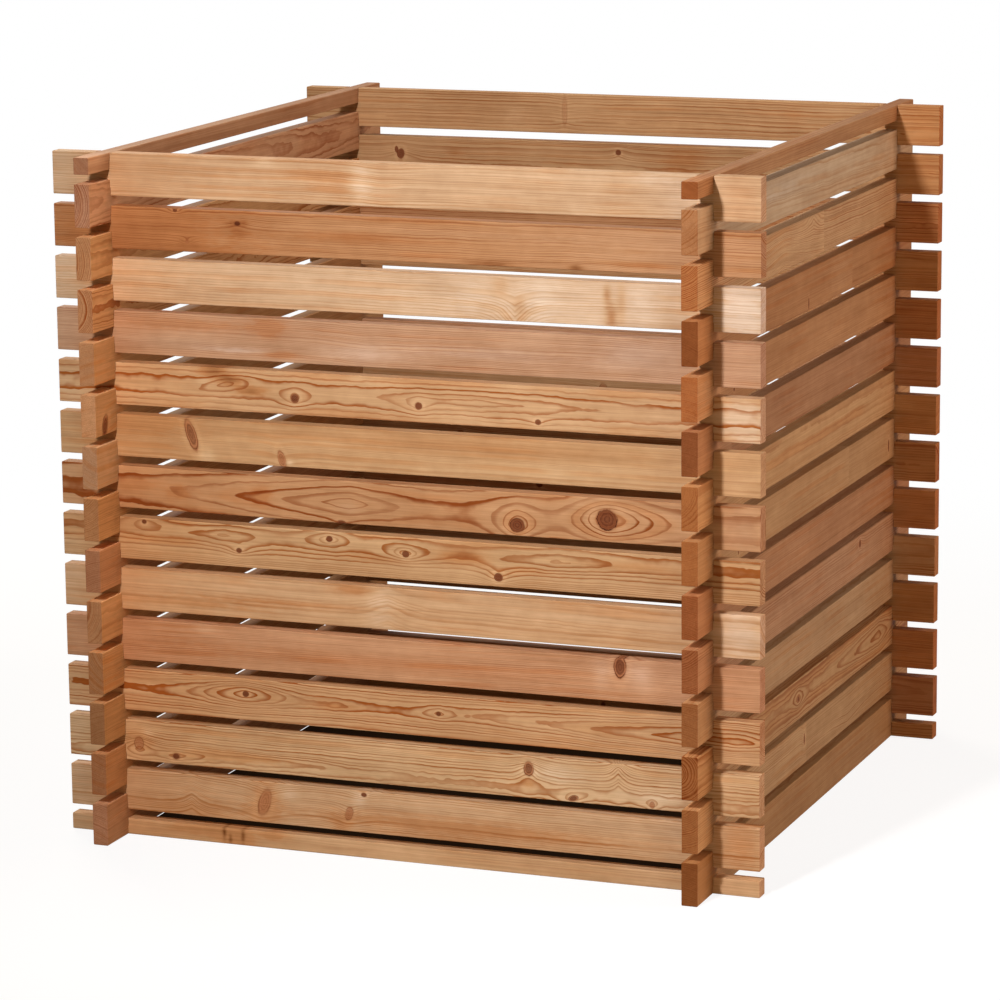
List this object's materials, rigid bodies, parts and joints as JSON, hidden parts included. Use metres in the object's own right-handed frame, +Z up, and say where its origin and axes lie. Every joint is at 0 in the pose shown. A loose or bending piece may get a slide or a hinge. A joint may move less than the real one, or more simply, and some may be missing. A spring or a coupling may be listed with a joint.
{
  "type": "slatted composter",
  "caption": "Square wooden garden composter of notched slats stacked like a log cabin, with air gaps between the slats and an open top and base.",
  "frame": {"origin": "on the ground, at the middle of the square plan", "axes": "+Z up; +X to the right and +Y to the back, along the walls, with the front wall facing -Y"},
  "size_m": [1, 1, 0.9455],
  "materials": {
    "pale_larch": "planed larch, pale and straight-grained, unsealed, dull satin",
    "honey_larch": "planed larch, honey coloured, with fine growth lines, unsealed, dull satin",
    "rosy_larch": "planed larch, pinkish heartwood with soft growth lines, unsealed, dull satin",
    "golden_larch": "planed larch, golden tan with looping growth figure and small knots, unsealed, dull satin",
    "russet_larch": "planed larch, reddish-brown heartwood with strong figure and knots, unsealed, dull satin"
  },
  "bodies": {
    "ground_course": {"front_half_slat": "golden_larch", "back_half_slat": "honey_larch", "left_slat_01": "rosy_larch", "right_slat_01": "honey_larch"},
    "course_02": {"front_slat_01": "pale_larch", "back_slat_01": "rosy_larch"},
    "course_03": {"left_slat_02": "russet_larch", "right_slat_02": "rosy_larch"},
    "course_04": {"front_slat_02": "golden_larch", "back_slat_02": "russet_larch"},
    "course_05": {"left_slat_03": "golden_larch", "right_slat_03": "honey_larch"},
    "course_06": {"front_slat_03": "honey_larch", "back_slat_03": "honey_larch"},
    "course_07": {"left_slat_04": "honey_larch", "right_slat_04": "russet_larch"},
    "course_08": {"front_slat_04": "rosy_larch", "back_slat_04": "pale_larch"},
    "course_09": {"left_slat_05": "russet_larch", "right_slat_05": "golden_larch"},
    "course_10": {"front_slat_05": "pale_larch", "back_slat_05": "russet_larch"},
    "course_11": {"left_slat_06": "honey_larch", "right_slat_06": "rosy_larch"},
    "course_12": {"front_slat_06": "honey_larch", "back_slat_06": "golden_larch"},
    "course_13": {"left_slat_07": "rosy_larch", "right_slat_07": "honey_larch"},
    "course_14": {"front_slat_07": "russet_larch", "back_slat_07": "honey_larch"},
    "course_15": {"left_slat_08": "golden_larch", "right_slat_08": "russet_larch"},
    "course_16": {"front_slat_08": "honey_larch", "back_slat_08": "rosy_larch"},
    "course_17": {"left_slat_09": "honey_larch", "right_slat_09": "rosy_larch"},
    "course_18": {"front_slat_09": "golden_larch", "back_slat_09": "russet_larch"},
    "course_19": {"left_slat_10": "rosy_larch", "right_slat_10": "russet_larch"},
    "course_20": {"front_slat_10": "rosy_larch", "back_slat_10": "honey_larch"},
    "course_21": {"left_slat_11": "honey_larch", "right_slat_11": "honey_larch"},
    "course_22": {"front_slat_11": "pale_larch", "back_slat_11": "russet_larch"},
    "course_23": {"left_slat_12": "golden_larch", "right_slat_12": "pale_larch"},
    "course_24": {"front_slat_12": "russet_larch", "back_slat_12": "rosy_larch"},
    "course_25": {"left_slat_13": "rosy_larch", "right_slat_13": "honey_larch"},
    "course_26": {"front_slat_13": "pale_larch", "back_slat_13": "honey_larch"},
    "left_top_slat": {"left_half_slat": "honey_larch"},
    "right_top_slat": {"right_half_slat": "russet_larch"}
  },
  "joints": [
    {"name": "course_02_lift", "type": "slide", "parent": "ground_course", "child": "course_02", "axis": [0, 0, 1], "range_m": [0, 0.06]},
    {"name": "course_03_lift", "type": "slide", "parent": "course_02", "child": "course_03", "axis": [0, 0, 1], "range_m": [0, 0.06]},
    {"name": "course_04_lift", "type": "slide", "parent": "course_03", "child": "course_04", "axis": [0, 0, 1], "range_m": [0, 0.06]},
    {"name": "course_05_lift", "type": "slide", "parent": "course_04", "child": "course_05", "axis": [0, 0, 1], "range_m": [0, 0.06]},
    {"name": "course_06_lift", "type": "slide", "parent": "course_05", "child": "course_06", "axis": [0, 0, 1], "range_m": [0, 0.06]},
    {"name": "course_07_lift", "type": "slide", "parent": "course_06", "child": "course_07", "axis": [0, 0, 1], "range_m": [0, 0.06]},
    {"name": "course_08_lift", "type": "slide", "parent": "course_07", "child": "course_08", "axis": [0, 0, 1], "range_m": [0, 0.06]},
    {"name": "course_09_lift", "type": "slide", "parent": "course_08", "child": "course_09", "axis": [0, 0, 1], "range_m": [0, 0.06]},
    {"name": "course_10_lift", "type": "slide", "parent": "course_09", "child": "course_10", "axis": [0, 0, 1], "range_m": [0, 0.06]},
    {"name": "course_11_lift", "type": "slide", "parent": "course_10", "child": "course_11", "axis": [0, 0, 1], "range_m": [0, 0.06]},
    {"name": "course_12_lift", "type": "slide", "parent": "course_11", "child": "course_12", "axis": [0, 0, 1], "range_m": [0, 0.06]},
    {"name": "course_13_lift", "type": "slide", "parent": "course_12", "child": "course_13", "axis": [0, 0, 1], "range_m": [0, 0.06]},
    {"name": "course_14_lift", "type": "slide", "parent": "course_13", "child": "course_14", "axis": [0, 0, 1], "range_m": [0, 0.06]},
    {"name": "course_15_lift", "type": "slide", "parent": "course_14", "child": "course_15", "axis": [0, 0, 1], "range_m": [0, 0.06]},
    {"name": "course_16_lift", "type": "slide", "parent": "course_15", "child": "course_16", "axis": [0, 0, 1], "range_m": [0, 0.06]},
    {"name": "course_17_lift", "type": "slide", "parent": "course_16", "child": "course_17", "axis": [0, 0, 1], "range_m": [0, 0.06]},
    {"name": "course_18_lift", "type": "slide", "parent": "course_17", "child": "course_18", "axis": [0, 0, 1], "range_m": [0, 0.06]},
    {"name": "course_19_lift", "type": "slide", "parent": "course_18", "child": "course_19", "axis": [0, 0, 1], "range_m": [0, 0.06]},
    {"name": "course_20_lift", "type": "slide", "parent": "course_19", "child": "course_20", "axis": [0, 0, 1], "range_m": [0, 0.06]},
    {"name": "course_21_lift", "type": "slide", "parent": "course_20", "child": "course_21", "axis": [0, 0, 1], "range_m": [0, 0.06]},
    {"name": "course_22_lift", "type": "slide", "parent": "course_21", "child": "course_22", "axis": [0, 0, 1], "range_m": [0, 0.06]},
    {"name": "course_23_lift", "type": "slide", "parent": "course_22", "child": "course_23", "axis": [0, 0, 1], "range_m": [0, 0.06]},
    {"name": "course_24_lift", "type": "slide", "parent": "course_23", "child": "course_24", "axis": [0, 0, 1], "range_m": [0, 0.06]},
    {"name": "course_25_lift", "type": "slide", "parent": "course_24", "child": "course_25", "axis": [0, 0, 1], "range_m": [0, 0.06]},
    {"name": "course_26_lift", "type": "slide", "parent": "course_25", "child": "course_26", "axis": [0, 0, 1], "range_m": [0, 0.06]},
    {"name": "left_top_slat_lift", "type": "slide", "parent": "course_26", "child": "left_top_slat", "axis": [0, 0, 1], "range_m": [0, 0.06]},
    {"name": "right_top_slat_lift", "type": "slide", "parent": "course_26", "child": "right_top_slat", "axis": [0, 0, 1], "range_m": [0, 0.06]}
  ]
}
